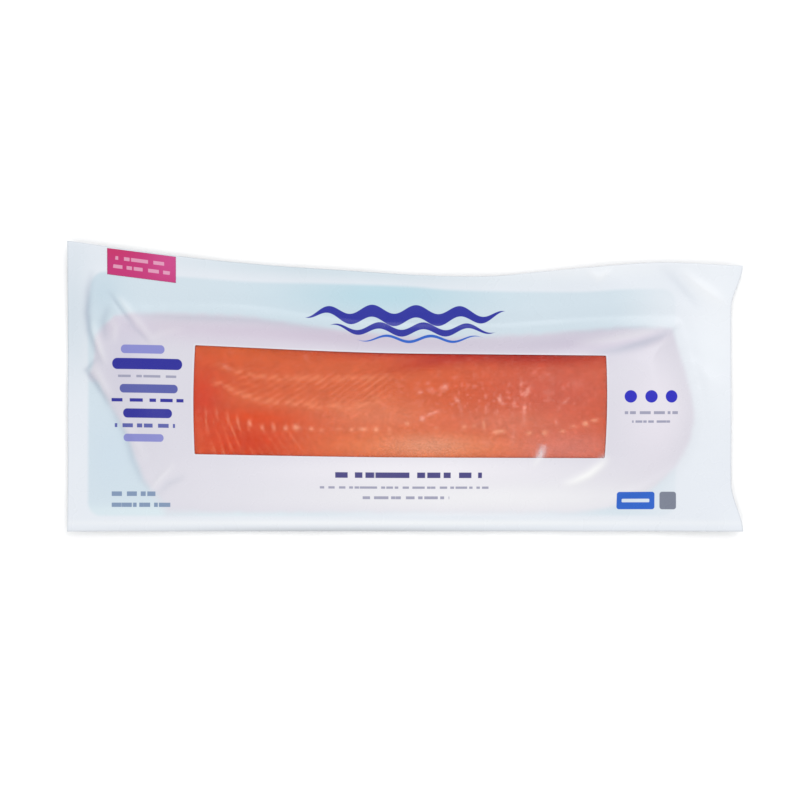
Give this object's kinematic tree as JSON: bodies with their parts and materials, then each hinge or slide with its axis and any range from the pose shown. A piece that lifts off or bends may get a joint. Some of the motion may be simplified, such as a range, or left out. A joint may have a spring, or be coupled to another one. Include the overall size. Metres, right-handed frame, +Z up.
{
  "type": "pack of smoked salmon",
  "caption": "Long vacuum pack of a smoked salmon side, lying flat: pale printed film, a clear window over the orange fish and a small bright label on one corner.",
  "frame": {"origin": "middle of the pack's footprint, on the surface that it lies on", "axes": "+X along the pack towards the fish's broad end, +Y towards the fish's thick back edge, +Z up out of the printed front"},
  "size_m": [0.46, 0.198, 0.0236],
  "materials": {
    "back_film": "satin",
    "salmon": "satin",
    "front_film": "gloss",
    "label": "satin"
  },
  "bodies": {
    "root": {"back_film": "back_film", "salmon_side": "salmon", "front_film": "front_film", "corner_label": "label"}
  },
  "joints": []
}
